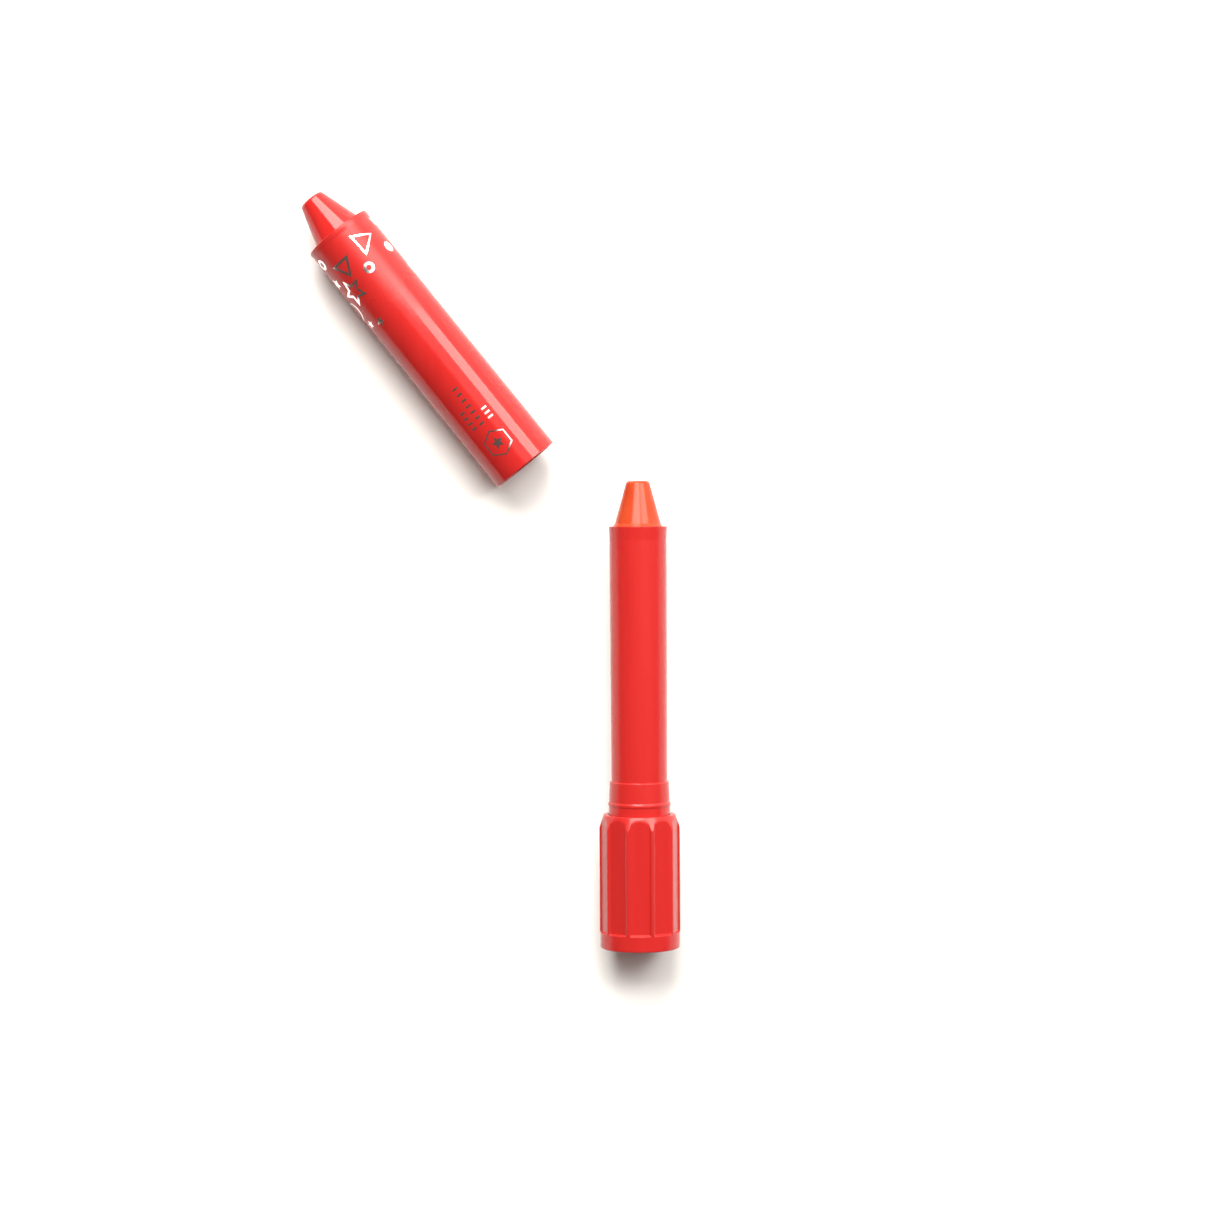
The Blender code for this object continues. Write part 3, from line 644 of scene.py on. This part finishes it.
def pattern_motifs():
    """The scattered shapes near the cap's shoulder."""
    triangles = (([(1.80, 70.6), (7.48, 68.05), (2.23, 64.2)], 0.48),
                 ([(-1.43, 67.4), (-7.4, 67.3), (-4.28, 62.3)], 0.68),
                 ([(11.0, 71.9), (13.4, 70.8), (12.0, 69.3)], 0.45))
    motifs = [outlined([Vector(p) for p in corners], line) for corners, line in triangles]
    for centre, radius, width in (((0.75, 61.5), 1.45, 0.75), ((-10.5, 69.75), 1.5, 0.75),
                                  ((-13.0, 55.5), 2.95, 0.5)):
        motifs.append(outlined(polygon(centre, radius, CIRCLE_SIDES, 0), width))
    motifs.append(filled(polygon((9.75, 63.0), 1.5, CIRCLE_SIDES, 0)))
    for centre, radius, turn in (((-11.0, 63.8), 1.8, 10), ((-6.1, 49.6), 1.35, 25),
                                 ((-10.0, 50.75), 1.2, 0)):
        motifs.append(filled(star(centre, radius, turn)))
    motifs.append(outlined(star((-6.8, 59.4), 3.9, 13.2, 0.48), 0.6))
    return motifs


def mouth_motifs():
    """A plain hexagon with a star in it, and three rows of short strokes."""
    motifs = [outlined(polygon(EMBLEM, 3.7, 6, 0), 0.35), filled(star(EMBLEM, 1.7, 0))]
    half = STROKE_LENGTH / 2
    for u, first, last, count in ((-4.25, 13.5, 19.75, 4), (-1.75, 13.25, 25.75, 7),
                                  (1.0, 13.5, 17.5, 3)):
        for k in range(count):
            s = first + (last - first) * (k + 0.5) / count
            motifs.append(filled(bar((u - half, s), (u + half, s), STROKE_WIDTH)))
    return motifs


def make_foil():
    made = bmesh.new()
    for half_turn in (0.0, math.pi):
        for loops in pattern_motifs():
            add_film(made, loops, half_turn)
    for loops in mouth_motifs():
        add_film(made, loops, 0.0)
    return finished("cap_foil_print", made, CAP_PLACE)


# ---- the studio -----------------------------------------------------------------------

CAMERA_DISTANCE = 750 * MM
CAMERA_AIM = Vector((-7.749 * MM, 85.30 * MM, 0))     # from the tail
CAMERA_SLANT = math.radians(2.37)    # of the line from the aim to the camera, towards the wax
CAMERA_LEAN = math.radians(1.2)      # of the camera itself; its shift makes up the rest
CAMERA_ROLL = math.radians(0.33)
CAMERA_LENS = 88.96                  # mm, as is the sensor
CAMERA_SENSOR = 36.0
LIGHT_HEIGHT = 1.0
# Each panel's low and high corners from a point over the wax tip, the turn about +Z that
# they are measured in, and the panel's radiance.
PANELS = {"left": ((-0.62, 0.42), (0.25, 2.8), 0.0, 13.5),
          "right": ((0.64, -0.25), (2.0, 0.30), math.radians(38.6), 11.0)}
LAMP_COLOUR = (1.0, 0.98, 0.91)
FLOOR_SIZE = 1.8
BRIGHT_SIDE = Vector((0.78, 0.62, 0.0))
# The room's brightness and the horizon change over these spans of a unit direction.
SIDE_SPAN = (-0.12, 0.10)            # towards the bright side
FAR_SPAN = (-0.03, 0.15)             # along +Y
HORIZON_SPAN = (-0.02, 0.02)         # along +Z
ROOM_BRIGHT = (1.7, 1.67, 1.6, 1.0)
ROOM_DIM = (0.12, 0.075, 0.065, 1.0)
BELOW_TABLE = (1.2, 1.2, 1.2, 1.0)
BACKDROP = (1.0, 1.0, 1.0, 1.0)      # what the camera itself sees past the table


def add_panel(name, low, high, turn, radiance, over):
    wide, deep = high[0] - low[0], high[1] - low[1]
    lamp = bpy.data.lights.new(f"panel_{name}", "AREA")
    lamp.shape = "RECTANGLE"
    lamp.size = wide
    lamp.size_y = deep
    lamp.energy = radiance * math.pi * wide * deep
    lamp.color = LAMP_COLOUR
    holder = bpy.data.objects.new(f"panel_{name}", lamp)
    spin = Matrix.Rotation(turn, 4, "Z")
    centre = spin @ Vector((low[0] + wide / 2, low[1] + deep / 2, LIGHT_HEIGHT))
    holder.location = over + centre
    holder.rotation_euler = (0, 0, turn)
    holder.visible_camera = False
    bpy.context.scene.collection.objects.link(holder)


def add_floor():
    made = bmesh.new()
    bmesh.ops.create_grid(made, x_segments=8, y_segments=8, size=FLOOR_SIZE / 2)
    floor = finished("floor", made, Matrix.Identity(4))
    floor.data.materials.append(table_top().material)


def add_world():
    """White below the horizon. Above it, one quarter is bright and the rest is dim."""
    world = bpy.data.worlds.new("studio")
    world.use_nodes = True
    bpy.context.scene.world = world
    graph = Graph(world.node_tree)
    way = graph.node("ShaderNodeTexCoord").outputs["Generated"]
    axes = graph.node("ShaderNodeSeparateXYZ", {"Vector": way}).outputs
    towards = graph.node("ShaderNodeVectorMath", {0: way, 1: BRIGHT_SIDE},
                         operation="DOT_PRODUCT").outputs["Value"]
    quarter = graph.maths("MULTIPLY", graph.ramp(towards, *SIDE_SPAN, 0.0, 1.0),
                          graph.ramp(axes["Y"], *FAR_SPAN, 0.0, 1.0))
    low, high = HORIZON_SPAN
    above = graph.node("ShaderNodeMapRange", {
        "Value": axes["Z"], "From Min": low, "From Max": high}).outputs["Result"]
    room = graph.blend(above, BELOW_TABLE, graph.blend(quarter, ROOM_DIM, ROOM_BRIGHT))
    seen = graph.node("ShaderNodeLightPath").outputs["Is Camera Ray"]
    background = graph.nodes["Background"].inputs["Color"]
    graph.links.new(graph.blend(seen, room, BACKDROP), background)


def add_camera():
    data = bpy.data.cameras.new("camera")
    data.lens = CAMERA_LENS
    data.sensor_width = CAMERA_SENSOR
    camera = bpy.data.objects.new("camera", data)
    away = Vector((0, math.sin(CAMERA_SLANT), math.cos(CAMERA_SLANT)))
    camera.matrix_world = (Matrix.Translation(TAIL + CAMERA_AIM + CAMERA_DISTANCE * away)
                           @ Matrix.Rotation(-CAMERA_LEAN, 4, "X")
                           @ Matrix.Rotation(-CAMERA_ROLL, 4, "Z"))
    data.shift_y = -math.tan(CAMERA_SLANT - CAMERA_LEAN) * CAMERA_LENS / CAMERA_SENSOR
    bpy.context.scene.collection.objects.link(camera)
    bpy.context.scene.camera = camera


# ---- assembly -------------------------------------------------------------------------

def repaint(node, look):
    """Give a CAD mesh that stays visible its material."""
    piece = frame["nodes"][node]
    for slot in piece.material_slots:
        slot.material = look.material


def add_pieces():
    knob_red = moulded_red("knob_red", 0.22, 0.24)
    dress(make_barrel(), moulded_red("barrel_red", 0.25, 0.265),
          "barrel_body", "red_gloss_plastic", "barrel")
    dress(make_knob(), knob_red, "knob_body", "red_knob_plastic", "twist_knob")
    dress(make_plug(), knob_red, "knob_body", "red_knob_plastic", "tail_plug")
    dress(make_wax(), orange_wax(), "wax_carriage", "orange_wax", "wax_stick")
    dress(make_cap(), cap_red(), "cap_body", "red_cap_plastic", "cap")
    dress(make_foil(), silver_foil(), "cap_body", None)

    repaint("lead_screw", inner_plastic("ivory_plastic", IVORY, IVORY_DARK, 0.40, 0.01 * MM))
    repaint("wax_cup", inner_plastic("white_plastic", WHITE, WHITE_DARK, 0.45, 0.01 * MM))
    repaint("friction_ring",
            inner_plastic("black_rubber", RUBBER, RUBBER_DARK, 0.68, 0.02 * MM))


def main():
    add_pieces()
    add_floor()
    add_world()
    over = Vector((TAIL.x, TAIL.y + WAX_TIP, 0))
    for name, settings in PANELS.items():
        add_panel(name, *settings, over)
    add_camera()
    bpy.context.scene.view_settings.view_transform = "Standard"


main()
